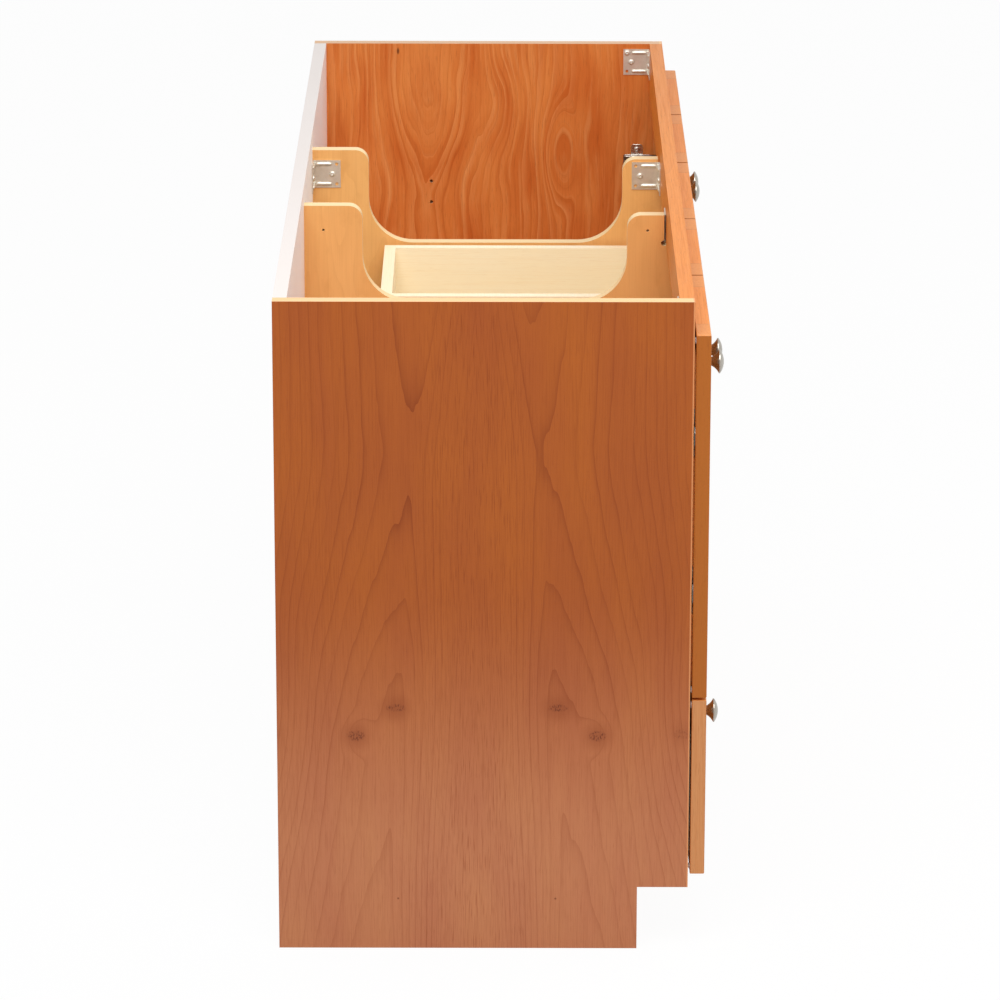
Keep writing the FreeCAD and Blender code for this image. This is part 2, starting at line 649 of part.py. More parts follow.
export("left_end_panel", left_end_panel())
export("right_end_panel", flipped(left_end_panel()))
export("end_panel_edge_bands", left_edge_band(), flipped(left_edge_band()))
export("back_panel", back_panel())
export("bottom_panel", bottom_panel())
export("toe_kick_board", toe_kick_board())
export("left_partition", left_partition())
export("right_partition", flipped(left_partition()))
export("front_top_rail", front_top_rail())
export("left_bay_shelf", left_bay_shelf())
export("right_bay_shelf", flipped(left_bay_shelf()))
brackets = left_corner_brackets()
export("corner_brackets", *brackets, *[flipped(b) for b in brackets])

# Each door: its span, its hinge edge, whether that edge is its low X side, and its knob
LEFT_OUTER = (-SIDE_FRONT_OUTER_X, -DOOR_MEET_X - FRONT_SPACING / 2)
LEFT_INNER = (-DOOR_MEET_X + FRONT_SPACING / 2, -SIDE_FRONT_INNER_X)
RIGHT_INNER = (SIDE_FRONT_INNER_X, DOOR_MEET_X - FRONT_SPACING / 2)
RIGHT_OUTER = (DOOR_MEET_X + FRONT_SPACING / 2, SIDE_FRONT_OUTER_X)
make_door("left_outer_door", LEFT_OUTER, LEFT_OUTER[0], True, LEFT_OUTER[1] - DOOR_KNOB_INSET)
make_door("left_inner_door", LEFT_INNER, LEFT_INNER[1], False, LEFT_INNER[0] + DOOR_KNOB_INSET)
make_door("right_inner_door", RIGHT_INNER, RIGHT_INNER[0], True, RIGHT_INNER[1] - DOOR_KNOB_INSET)
make_door("right_outer_door", RIGHT_OUTER, RIGHT_OUTER[1], False, RIGHT_OUTER[0] + DOOR_KNOB_INSET)

# The fixed halves of the hinges, on the end panels and on the partitions
HANGINGS = (
    (LEFT_OUTER[0], True, OUTER_PLATE_X),
    (LEFT_INNER[1], False, INNER_PLATE_X),
    (RIGHT_INNER[0], True, INNER_PLATE_X),
    (RIGHT_OUTER[1], False, OUTER_PLATE_X),
)
plates, arms, pins = [], [], []
for edge_x, inward, board_x in HANGINGS:
    plates += hung(hinge_plate(board_x), edge_x, inward)
    arms += hung(hinge_arm(board_x), edge_x, inward)
    pins += hung(hinge_pin(), edge_x, inward)
export("hinge_mounting_plates", *plates)
export("hinge_arms", *arms)
export("hinge_pins", *pins)

MIDDLE_BAY = (-MIDDLE_FACE_X, MIDDLE_FACE_X)
LEFT_BAY = (-END_INNER_X, -SIDE_FACE_X)
RIGHT_BAY = (SIDE_FACE_X, END_INNER_X)
MIDDLE_FRONT = (-MIDDLE_FRONT_X, MIDDLE_FRONT_X)
UPPER_FRONT_Z = (DOOR_BOTTOM_Z, FRONTS_TOP_Z)
LOW_FRONT_Z = (FRONTS_BOTTOM_Z, SEAM_Z)
LEFT_FRONT = (-SIDE_FRONT_OUTER_X, -SIDE_FRONT_INNER_X)
RIGHT_FRONT = (SIDE_FRONT_INNER_X, SIDE_FRONT_OUTER_X)
case_slides = make_drawer(
    "upper_middle_drawer", MIDDLE_BAY, MIDDLE_FRONT, UPPER_FRONT_Z, UPPER_BOX_Z, UPPER_BOX_HEIGHT
)
case_slides += make_drawer(
    "lower_middle_drawer", MIDDLE_BAY, MIDDLE_FRONT, LOW_FRONT_Z, LOW_BOX_Z, LOW_BOX_HEIGHT
)
case_slides += make_drawer(
    "left_bottom_drawer", LEFT_BAY, LEFT_FRONT, LOW_FRONT_Z, LOW_BOX_Z, LOW_BOX_HEIGHT
)
case_slides += make_drawer(
    "right_bottom_drawer", RIGHT_BAY, RIGHT_FRONT, LOW_FRONT_Z, LOW_BOX_Z, LOW_BOX_HEIGHT
)
export("slide_case_members", *case_slides)
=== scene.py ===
import math

import bpy
import numpy as np
from mathutils import Matrix, Vector


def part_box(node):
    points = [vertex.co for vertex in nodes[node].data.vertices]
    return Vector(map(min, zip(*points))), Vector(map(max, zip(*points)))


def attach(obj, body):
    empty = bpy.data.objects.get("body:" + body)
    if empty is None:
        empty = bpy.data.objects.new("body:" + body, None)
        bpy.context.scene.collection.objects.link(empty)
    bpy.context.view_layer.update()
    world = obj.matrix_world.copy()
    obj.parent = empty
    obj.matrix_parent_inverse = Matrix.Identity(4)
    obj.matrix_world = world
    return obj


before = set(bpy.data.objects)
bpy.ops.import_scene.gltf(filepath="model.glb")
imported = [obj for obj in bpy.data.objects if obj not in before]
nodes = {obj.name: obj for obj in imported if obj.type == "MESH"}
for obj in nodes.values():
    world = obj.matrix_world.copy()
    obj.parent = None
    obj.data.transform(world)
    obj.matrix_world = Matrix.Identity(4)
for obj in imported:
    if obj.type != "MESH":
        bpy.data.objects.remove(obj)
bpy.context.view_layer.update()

# A long bathroom vanity cabinet, seen along its length from its left end.
# Metres, in the model's own frame: X along the length, front towards -Y, floor at Z 0.
# A noise scale of n per metre draws features about 1000 / n mm wide.

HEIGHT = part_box("left_end_panel")[1][2]
BACK_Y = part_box("back_panel")[1][1]
CASE_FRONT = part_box("bottom_panel")[0][1]
FRAME_WIDTH = 0.057      # stiles and rails of the doors and drawer fronts
SEAM_Y = BACK_Y - 0.258  # where the end panels' two leaves meet
FRONT_STAIN = "A8602A"   # brushed over the case's front edges


def colour(code):
    """An sRGB hex value as a linear colour with alpha."""
    channels = [int(code[i:i + 2], 16) / 255 for i in (0, 2, 4)]
    linear = [c / 12.92 if c <= 0.04045 else ((c + 0.055) / 1.055) ** 2.4 for c in channels]
    return (*linear, 1.0)


def add(tree, kind, *inputs, out=0, named=None, **settings):
    """Adds a node with its settings; inputs are values or sockets, by place or by name."""
    node = tree.nodes.new("ShaderNode" + kind)
    for key, value in settings.items():
        setattr(node, key, value)
    for key, value in [*enumerate(inputs), *(named or {}).items()]:
        if value is None:
            continue
        if isinstance(value, bpy.types.NodeSocket):
            tree.links.new(value, node.inputs[key])
        else:
            node.inputs[key].default_value = value
    return node.outputs[out] if node.outputs else node


def new_material(name):
    """An empty node material and its tree."""
    material = bpy.data.materials.new(name)
    material.use_nodes = True
    material.node_tree.nodes.clear()
    return material, material.node_tree


def finish_material(tree, **sockets):
    """Puts the given sockets or values on one principled shader."""
    named = {key.replace("_", " "): value for key, value in sockets.items()}
    shader = add(tree, "BsdfPrincipled", named=named)
    add(tree, "OutputMaterial", shader)


def surface_place(tree):
    """Object coordinates, whole and split, and the split normal, which tells faces from edges."""
    place = add(tree, "TexCoord", out=3)
    split = add(tree, "SeparateXYZ", place).node.outputs
    normal = add(tree, "SeparateXYZ", add(tree, "TexCoord", out=1)).node.outputs
    return place, split, normal


# Woods

def grain_layers(tree, across, along, depth):
    """Fine streaks 1.5 mm wide and 90 mm long, pore dashes 0.7 mm wide, and slow patches 60 mm wide.

    Real pores are a tenth of that: they are drawn as coarse as they need to show."""
    place = add(tree, "CombineXYZ", across, depth, along)
    streak_place = add(tree, "Mapping", place, None, None, (700.0, 700.0, 11.0))
    streaks = add(tree, "TexNoise", streak_place, None, 1.0, 3.0, 0.6)
    pore_place = add(tree, "Mapping", place, None, None, (1500.0, 1500.0, 60.0))
    pores = add(tree, "TexNoise", pore_place, None, 1.0, 1.0, 0.5)
    pores = add(tree, "MapRange", pores, 0.62, 0.74, 0.0, 1.0)
    patch_place = add(tree, "Mapping", place, None, None, (16.0, 16.0, 4.0))
    patches = add(tree, "TexNoise", patch_place, None, 1.0, 2.0, 0.5)
    return streaks, pores, patches


def ring_lines(tree, rings, patchiness, sharpness):
    """Late-wood lines: dark where the ring count nears a whole number, broken up by patchiness.

    Each ring has a strength of its own, from faint to full, as dry and wet years leave it."""
    part = add(tree, "Math", rings, operation="FRACT")
    line = add(tree, "Math", part, sharpness, operation="POWER")
    year = add(tree, "Math", rings, operation="FLOOR")
    strength = add(tree, "TexWhiteNoise", None, year, noise_dimensions="1D")
    strength = add(tree, "MapRange", strength, 0.0, 1.0, 0.5, 1.2)
    line = add(tree, "Math", line, strength, operation="MULTIPLY")
    return add(tree, "Math", line, patchiness, operation="MULTIPLY")


def swell_rings(tree, rings, place, swells):
    """Lifts or lowers the ring count over ovals, given as centre, squeeze along the grain, reach and lift."""
    for (across, along), squeeze, reach, lift in swells:
        squeezed = add(tree, "Mapping", place, None, None, (1.0, squeeze, 1.0))
        centre = (across, along * squeeze, 0)
        gap = add(tree, "VectorMath", squeezed, centre, operation="DISTANCE", out=1)
        swell = add(tree, "MapRange", gap, 0.0, reach, lift, 0.0, interpolation_type="SMOOTHERSTEP")
        rings = add(tree, "Math", rings, swell, operation="ADD")
    return rings


# The count's shift up the height of the end panel, as shares: it closes the leaves' lines into arches.
ARCH_CURVE = ((0.0, 0.04), (0.175, 0.20), (0.300, 0.28), (0.426, 0.40), (0.548, 0.60), (0.694, 0.80),
              (0.762, 0.85), (0.830, 0.80), (1.0, 0.62))
# On the outer leaves: centre off the seam and above the floor, squeeze, reach, and lift in rings.
LEAF_SWELLS = (((0.153, 0.295), 0.80, 0.036, -1.2), ((0.268, 0.298), 0.35, 0.085, 2.4))
# Centre off the seam and above the floor, squeeze, and strength of each pin knot.
PIN_KNOTS = (((0.1045, 0.3335), 2.3, 1.0), ((0.1545, 0.295), 1.6, 1.0), ((0.267, 0.298), 1.7, 0.5))
PIN_MARK = (0.102, 0.0695, 0)
# On the inner leaf: centre in Y and above the floor, squeeze, reach, and lift in rings.
FLAME_SWELLS = (((0.004, 0.770), 0.50, 0.060, -2.5), ((-0.083, 0.697), 0.32, 0.041, 4.0))
FLAME_AXIS_Y = 0.1171


def leaf_figure(tree, y, z):
    """Ring count of a book-matched pair of flat-cut leaves, distance off their seam, and place on the leaf.

    Across each leaf the count grows to both sides of the heart line, faster towards the seam;
    along it a drawn curve shifts the count, which closes the lines into arches. The lines are pushed
    off the inner knot and drawn to the outer one, so they bunch between the two."""
    place = add(tree, "CombineXYZ", y, z, 0.0)
    slow_place = add(tree, "Mapping", place, None, None, (9.0, 2.4, 1.0))  # 110 mm across, 420 mm along
    slow = add(tree, "TexNoise", slow_place, None, 1.0, 1.0, 0.5)
    sway = add(tree, "Math", slow, -0.5, operation="ADD")
    side = add(tree, "Math", y, SEAM_Y, operation="SUBTRACT")
    swayed = add(tree, "Math", sway, 0.012, side, operation="MULTIPLY_ADD")
    across = add(tree, "Math", swayed, operation="ABSOLUTE")

    heart = add(tree, "Math", z, -0.0675, 0.1235, operation="MULTIPLY_ADD")
    off_heart = add(tree, "Math", across, heart, operation="SUBTRACT")
    outward = add(tree, "Math", off_heart, 0.0, operation="MAXIMUM")
    outward = add(tree, "Math", outward, 0.18, operation="DIVIDE")
    outward = add(tree, "Math", outward, 1.7, operation="POWER")
    inward = add(tree, "Math", off_heart, 0.0, operation="MINIMUM")
    inward = add(tree, "Math", inward, -0.1, operation="DIVIDE")
    inward = add(tree, "Math", inward, 1.5, operation="POWER")
    rings = add(tree, "Math", outward, 9.5, -3.0, operation="MULTIPLY_ADD")
    rings = add(tree, "Math", inward, 13.0, rings, operation="MULTIPLY_ADD")

    share = add(tree, "Math", z, HEIGHT, operation="DIVIDE")
    shift = add(tree, "FloatCurve", 1.0, share)
    curve = shift.node.mapping.curves[0]
    curve.points[0].location = ARCH_CURVE[0]
    curve.points[1].location = ARCH_CURVE[-1]
    for spot in ARCH_CURVE[1:-1]:
        curve.points.new(*spot)
    shift.node.mapping.update()
    rings = add(tree, "Math", shift, 5.0, rings, operation="MULTIPLY_ADD")

    # The two leaves were sliced one after the other, so the right one's lines have slipped a little.
    right_leaf = add(tree, "Math", y, SEAM_Y, operation="LESS_THAN")
    slip = add(tree, "MapRange", z, 0.44, 0.57, -0.09, -0.32)
    rings = add(tree, "Math", right_leaf, slip, rings, operation="MULTIPLY_ADD")
    leaf = add(tree, "CombineXYZ", across, z, 0.0)
    rings = swell_rings(tree, rings, leaf, LEAF_SWELLS)
    ruffle_place = add(tree, "Mapping", place, None, None, (52.0, 9.0, 1.0))  # 20 mm across, 110 mm along
    ruffle = add(tree, "TexNoise", ruffle_place, None, 1.0, 2.0, 0.5)
    ruffle = add(tree, "Math", ruffle, -0.5, operation="ADD")
    rings = add(tree, "Math", ruffle, 0.42, rings, operation="MULTIPLY_ADD")
    return rings, across, leaf


def pin_knots(tree, leaf):
    """Pin knots' cores, 16 to 28 mm across, their 56 mm dark haloes, and a 3 mm pin mark low on each leaf."""
    cores, haloes = None, None
    for (across, along), squeeze, mark in PIN_KNOTS:
        gap = add(tree, "VectorMath", leaf, (across, along, 0), operation="DISTANCE", out=1)
        halo = add(tree, "MapRange", gap, 0.004, 0.028, mark, 0.0, interpolation_type="SMOOTHSTEP")
        haloes = halo if haloes is None else add(tree, "Math", haloes, halo, operation="MAXIMUM")
        squeezed = add(tree, "Mapping", leaf, None, None, (1.0, squeeze, 1.0))
        centre = (across, along * squeeze, 0)
        gap = add(tree, "VectorMath", squeezed, centre, operation="DISTANCE", out=1)
        core = add(tree, "MapRange", gap, 0.008, 0.014, mark, 0.0, interpolation_type="SMOOTHSTEP")
        cores = core if cores is None else add(tree, "Math", cores, core, operation="MAXIMUM")
    gap = add(tree, "VectorMath", leaf, PIN_MARK, operation="DISTANCE", out=1)
    pins = add(tree, "MapRange", gap, 0.0008, 0.0018, 0.8, 0.0)
    return cores, haloes, pins


def flame_figure(tree, y, z):
    """Ring count of the one wide leaf on the end panels' inner faces: a tongue, an arch and an eye.

    The count grows to both sides of the tongue's axis, and falls along it over the tongue's height,
    which draws the upright lines together into Vs. Two oval swells close lines into an arch and an eye."""
    place = add(tree, "CombineXYZ", y, z, 0.0)
    sway_place = add(tree, "Mapping", place, None, None, (6.0, 3.0, 1.0))  # 170 mm across, 330 mm along
    sway = add(tree, "TexNoise", sway_place, None, 1.0, 2.0, 0.5)
    sway = add(tree, "Math", sway, -0.5, operation="ADD")
    off_axis = add(tree, "Math", y, FLAME_AXIS_Y, operation="SUBTRACT")
    swayed = add(tree, "Math", sway, 0.05, off_axis, operation="MULTIPLY_ADD")
    square = add(tree, "Math", swayed, swayed, 0.00016, operation="MULTIPLY_ADD")
    across = add(tree, "Math", square, operation="SQRT")
    beside = add(tree, "MapRange", across, 0.05, 0.13, 1.0, 0.0, interpolation_type="SMOOTHSTEP")
    climb = add(tree, "MapRange", z, 0.63, 0.80, 0.4, -3.0, interpolation_type="SMOOTHSTEP")
    climb = add(tree, "Math", climb, beside, operation="MULTIPLY")
    rings = add(tree, "Math", across, 84.0, climb, operation="MULTIPLY_ADD")  # rings 12 mm apart
    rings = swell_rings(tree, rings, place, FLAME_SWELLS)
    ruffle_place = add(tree, "Mapping", place, None, None, (42.0, 9.0, 1.0))  # 24 mm across, 110 mm along
    ruffle = add(tree, "TexNoise", ruffle_place, None, 1.0, 2.0, 0.35)
    return add(tree, "Math", ruffle, 1.5, rings, operation="MULTIPLY_ADD")


def outer_face(tree, place, y, z, shade, patches, patchiness):
    """Colour and late-wood lines of an end panel's outer face: two leaves with arches and pin knots.

    It is paler and pinker towards the floor: painted light bounced up off the white floor. Short dashes of
    vessels crowd beside the seam."""
    rings, across, leaf = leaf_figure(tree, y, z)
    cores, haloes, pins = pin_knots(tree, leaf)
    lines = ring_lines(tree, rings, patchiness, 9.0)
    fading = add(tree, "MapRange", across, 0.11, 0.20, 1.0, 0.62)
    lines = add(tree, "Math", lines, fading, operation="MULTIPLY")
    by_seam = add(tree, "MapRange", across, 0.02, 0.07, 0.35, 1.0)
    lines = add(tree, "Math", lines, by_seam, operation="MULTIPLY")

    # Paler and pinker low down: painted light bounced up off the white floor, not a change in the stain.
    up = add(tree, "MapRange", z, 0.10, 0.52, 0.0, 1.0, interpolation_type="SMOOTHSTEP")
    face = add(tree, "MixRGB", up, colour("BC7A51"), colour("A9581B"))
    redder = add(tree, "MixRGB", up, colour("B36D4B"), colour("9D4D1D"))
    blend = add(tree, "MapRange", patches, 0.25, 0.75, 0.0, 1.0)
    face = add(tree, "MixRGB", blend, face, redder)
    line_colour = add(tree, "MixRGB", up, colour("904826"), colour("80360A"))
    face = add(tree, "MixRGB", lines, face, line_colour)
    shade = add(tree, "Math", shade, 0.22, operation="MULTIPLY")
    face = add(tree, "MixRGB", shade, face, line_colour)

    dash_place = add(tree, "Mapping", place, None, None, (1.0, 850.0, 30.0))  # 1.2 mm wide, 33 mm long
    dashes = add(tree, "TexNoise", dash_place, None, 1.0, 1.0, 0.5)
    dashes = add(tree, "MapRange", dashes, 0.56, 0.72, 0.0, 1.0)
    near_seam = add(tree, "MapRange", across, 0.02, 0.08, 0.55, 0.22)
    dashes = add(tree, "Math", dashes, near_seam, operation="MULTIPLY")
    face = add(tree, "MixRGB", dashes, face, line_colour)

    haloes = add(tree, "Math", haloes, 0.45, operation="MULTIPLY")
    face = add(tree, "MixRGB", haloes, face, line_colour)
    fleck_place = add(tree, "Mapping", place, None, None, (1.0, 560.0, 280.0))  # 1.8 mm wide, 3.6 mm long
    flecks = add(tree, "TexNoise", fleck_place, None, 1.0, 1.0, 0.5)
    flecks = add(tree, "MapRange", flecks, 0.50, 0.66, 0.15, 0.9)
    flecks = add(tree, "Math", flecks, cores, operation="MULTIPLY")
    flecks = add(tree, "Math", flecks, pins, operation="MAXIMUM")
    flecks = add(tree, "Math", flecks, 0.85, operation="MULTIPLY")
    return add(tree, "MixRGB", flecks, face, colour("5A220E")), lines


def inner_face(tree, y, z, shade, patchiness):
    """Colour of an end panel's inner face: streakier, with pale early wood in some years; more orange and
    lighter than the outer face, painted light for the orange bounce inside the case.
    """
    rings = flame_figure(tree, y, z)
    part = add(tree, "Math", rings, operation="FRACT")
    year = add(tree, "Math", rings, operation="FLOOR")
    early = add(tree, "MapRange", part, 0.0, 0.75, 1.0, 0.0)
    pale_year = add(tree, "TexWhiteNoise", None, year, noise_dimensions="1D")
    pale_year = add(tree, "MapRange", pale_year, 0.45, 1.0, 0.0, 0.58)
    early = add(tree, "Math", early, pale_year, operation="MULTIPLY")
    early = add(tree, "Math", early, patchiness, operation="MULTIPLY")
    lines = ring_lines(tree, rings, patchiness, 5.0)
    lines = add(tree, "Math", lines, 0.38, operation="MULTIPLY")

    # Bands that follow the rings: narrow ones 9 mm wide and 200 mm long, broad ones 38 mm by 140 mm.
    flame = add(tree, "CombineXYZ", rings, z, 0.0)
    band_place = add(tree, "Mapping", flame, None, None, (1.4, 5.0, 1.0))
    bands = add(tree, "TexNoise", band_place, None, 1.0, 4.0, 0.6)
    light = add(tree, "MapRange", bands, 0.53, 0.74, 0.0, 0.6)
    dark = add(tree, "MapRange", bands, 0.45, 0.25, 0.0, 0.6)
    broad_place = add(tree, "Mapping", flame, (0.4, 0.0, 0.0), None, (0.31, 7.0, 1.0))
    broad = add(tree, "TexNoise", broad_place, None, 1.0, 2.0, 0.5)
    broad = add(tree, "MapRange", broad, 0.3, 0.7, 0.0, 1.0)

    # More orange and lighter than the outer face: painted bounce light from inside the case.
    face = add(tree, "MixRGB", broad, colour("CC692A"), colour("E28A44"))
    face = add(tree, "MixRGB", light, face, colour("EAA260"))
    face = add(tree, "MixRGB", dark, face, colour("BE5B20"))
    tongue = add(tree, "MapRange", rings, 2.0, -1.2, 0.0, 0.38)
    face = add(tree, "MixRGB", tongue, face, colour("EC9C54"))
    face = add(tree, "MixRGB", early, face, colour("F0A866"))
    face = add(tree, "MixRGB", lines, face, colour("AE4E18"))
    shade = add(tree, "Math", shade, 0.25, operation="MULTIPLY")
    face = add(tree, "MixRGB", shade, face, colour("BC5E1E"))

    # One small bark pocket near the top edge, 3 mm wide and 8 mm long.
    speck_squeeze = 0.4
    speck_place = add(tree, "CombineXYZ", y, z, 0.0)
    speck_place = add(tree, "Mapping", speck_place, None, None, (1.0, speck_squeeze, 1.0))
    centre = (0.163, 0.8645 * speck_squeeze, 0.0)
    speck = add(tree, "VectorMath", speck_place, centre, operation="DISTANCE", out=1)
    speck = add(tree, "MapRange", speck, 0.001, 0.0025, 0.8, 0.0)
    return add(tree, "MixRGB", speck, face, colour("4A2010"))


def veneer_panel(name, outward, edge_light, edge_dark):
    """Alder veneer, plain-sliced, stained and sprayed with satin lacquer, on a pale-edged board.

    It gives a warm satin face with soft arches, open pores and bare pale cut edges. The outer face carries
    two book-matched leaves, the inner one a single wide leaf. Where outward is 0, as on the thin lipping,
    all but the top and bottom ends shows as an outer face, and the front arris has a painted highlight, a
    thin pale line."""
    material, tree = new_material(name)
    place, (x, y, z), normal = surface_place(tree)
    streaks, pores, patches = grain_layers(tree, y, z, x)
    patchiness = add(tree, "MapRange", patches, 0.3, 0.7, 0.45, 1.0)
    shade = add(tree, "MapRange", streaks, 0.45, 0.75, 0.0, 1.0)
    face, lines = outer_face(tree, place, y, z, shade, patches, patchiness)
    if outward:
        inner = inner_face(tree, y, z, shade, patchiness)
        facing = add(tree, "Math", normal[0], outward, operation="MULTIPLY")
        is_outer = add(tree, "Math", facing, 0.5, operation="GREATER_THAN")
        face = add(tree, "MixRGB", is_outer, inner, face)
    open_pores = add(tree, "Math", pores, 0.3, operation="MULTIPLY")
    face = add(tree, "MixRGB", open_pores, face, colour("8A3F18"))

    flat = add(tree, "Math", normal[0] if outward else normal[2], operation="ABSOLUTE")
    is_flat = add(tree, "Math", flat, 0.5, operation="GREATER_THAN")
    edge = add(tree, "MixRGB", streaks, colour(edge_dark), colour(edge_light))
    forward = add(tree, "Math", normal[1], -0.6, operation="LESS_THAN")
    forward = add(tree, "Math", forward, 0.85, operation="MULTIPLY")
    edge = add(tree, "MixRGB", forward, edge, colour(FRONT_STAIN))
    if outward:
        face = add(tree, "MixRGB", is_flat, edge, face)
    else:
        face = add(tree, "MixRGB", is_flat, face, edge)
        # A thin pale line along the front arris: a painted highlight.
        arris_highlight = add(tree, "MapRange", y, CASE_FRONT + 0.0012, CASE_FRONT + 0.0020, 0.8, 0.0)
        face = add(tree, "MixRGB", arris_highlight, face, colour("DC9460"))
    roughness = add(tree, "MapRange", streaks, 0.3, 0.7, 0.34, 0.46)
    relief = add(tree, "Math", pores, lines, operation="ADD")
    bump = add(tree, "Bump", 0.12, 0.0004, named={"Height": relief}, invert=True)
    finish_material(tree, Base_Color=face, Roughness=roughness, Specular_IOR_Level=0.25, Normal=bump)
    return material


def framed_front(name, box_low, box_high, upright, side_stain="9C551E", pale_lit_colours=("DE8532", "E99336"),
                 inside_stained=True):
    """Solid alder frame or veneered panel, stained and lacquered, for one door or drawer front.

    It gives warm satin wood with plain grain lines and dark pores. Stiles have upright grain and end grain
    on their top and bottom edges, rails lie; upright says which way a panel's grain runs, and is None for
    a frame. The tops and bottoms are paler than the sides and broad faces: painted top light. An inside
    that is not stained takes the same pale colours."""
    material, tree = new_material(name)
    place, (x, y, z), normal = surface_place(tree)
    middle = (box_low[0] + box_high[0]) / 2
    half_rail = (box_high[0] - box_low[0]) / 2 - FRAME_WIDTH
    everywhere, nowhere = -1.0, 9.0
    stands_beyond = {None: half_rail, True: everywhere, False: nowhere}[upright]
    from_middle = add(tree, "Math", x, middle, operation="SUBTRACT")
    from_middle = add(tree, "Math", from_middle, operation="ABSOLUTE")
    stands = add(tree, "Math", from_middle, stands_beyond, operation="GREATER_THAN")
    swap = add(tree, "Math", x, z, operation="SUBTRACT")
    swap = add(tree, "Math", swap, stands, operation="MULTIPLY")
    across = add(tree, "Math", z, swap, operation="ADD")
    along = add(tree, "Math", x, swap, operation="SUBTRACT")
    streaks, pores, patches = grain_layers(tree, across, along, y)

    # Each front is cut from its own part of the figure, 45 mm across and 590 mm along.
    figure_place = add(tree, "CombineXYZ", across, y, along)
    cut_from = (middle * 7.0, 0.0, box_low[2] * 5.0)
    figure_place = add(tree, "Mapping", figure_place, cut_from, None, (22.0, 22.0, 1.7))
    figure = add(tree, "TexNoise", figure_place, None, 1.0, 2.0, 0.5)
    rings = add(tree, "Math", figure, 12.0, operation="MULTIPLY")
    rings = add(tree, "Math", across, 60.0, rings, operation="MULTIPLY_ADD")  # rings 17 mm apart
    patchiness = add(tree, "MapRange", patches, 0.3, 0.7, 0.3, 1.0)
    lines = ring_lines(tree, rings, patchiness, 5.0)

    # Pale colours for the tops and bottoms, and for an unstained inside: painted top light on the tops.
    wood = add(tree, "MixRGB", patches, colour(pale_lit_colours[0]), colour(pale_lit_colours[1]))
    side = add(tree, "Math", normal[0], operation="ABSOLUTE")
    side = add(tree, "Math", side, 0.6, operation="GREATER_THAN")
    side = add(tree, "Math", side, 0.85, operation="MULTIPLY")
    wood = add(tree, "MixRGB", side, wood, colour(side_stain))
    if inside_stained:
        broad = add(tree, "Math", normal[1], operation="ABSOLUTE")
    else:
        broad = add(tree, "Math", normal[1], -1.0, operation="MULTIPLY")
    broad = add(tree, "Math", broad, 0.6, operation="GREATER_THAN")
    deep_stain = add(tree, "Math", broad, 0.8, operation="MULTIPLY")
    wood = add(tree, "MixRGB", deep_stain, wood, colour("BC6A2C"))
    line_share = add(tree, "MapRange", broad, 0.0, 1.0, 0.22, 0.8)
    line_colour = add(tree, "MixRGB", broad, colour("B2622A"), colour("8E4416"))
    line_share = add(tree, "Math", lines, line_share, operation="MULTIPLY")
    wood = add(tree, "MixRGB", line_share, wood, line_colour)
    shade = add(tree, "MapRange", streaks, 0.45, 0.75, 0.0, 0.4)
    wood = add(tree, "MixRGB", shade, wood, line_colour)
    open_pores = add(tree, "Math", pores, 0.35, operation="MULTIPLY")
    wood = add(tree, "MixRGB", open_pores, wood, colour("8A4418"))

    if upright is None:
        end_place = add(tree, "Mapping", place, None, None, (300.0, 420.0, 300.0))  # 3 mm rings
        end_rings = add(tree, "TexNoise", end_place, None, 1.0, 2.0, 0.6)
        end = add(tree, "MixRGB", end_rings, colour("CC7C36"), colour("E69C52"))
        is_end = add(tree, "Math", normal[2], operation="ABSOLUTE")
        is_end = add(tree, "Math", is_end, 0.6, operation="GREATER_THAN")
        is_end = add(tree, "Math", is_end, stands, operation="MULTIPLY")
        wood = add(tree, "MixRGB", is_end, wood, end)
        seam = add(tree, "Math", from_middle, half_rail, operation="SUBTRACT")
        seam = add(tree, "Math", seam, operation="ABSOLUTE")
        seam = add(tree, "MapRange", seam, 0.0002, 0.0006, 0.7, 0.0)
        wood = add(tree, "MixRGB", seam, wood, colour("7A3C16"))
    roughness = add(tree, "MapRange", streaks, 0.3, 0.7, 0.34, 0.46)
    relief = add(tree, "Math", pores, lines, operation="ADD")
    bump = add(tree, "Bump", 0.12, 0.0004, named={"Height": relief}, invert=True)
    finish_material(tree, Base_Color=wood, Roughness=roughness, Specular_IOR_Level=0.17, Normal=bump)
    return material


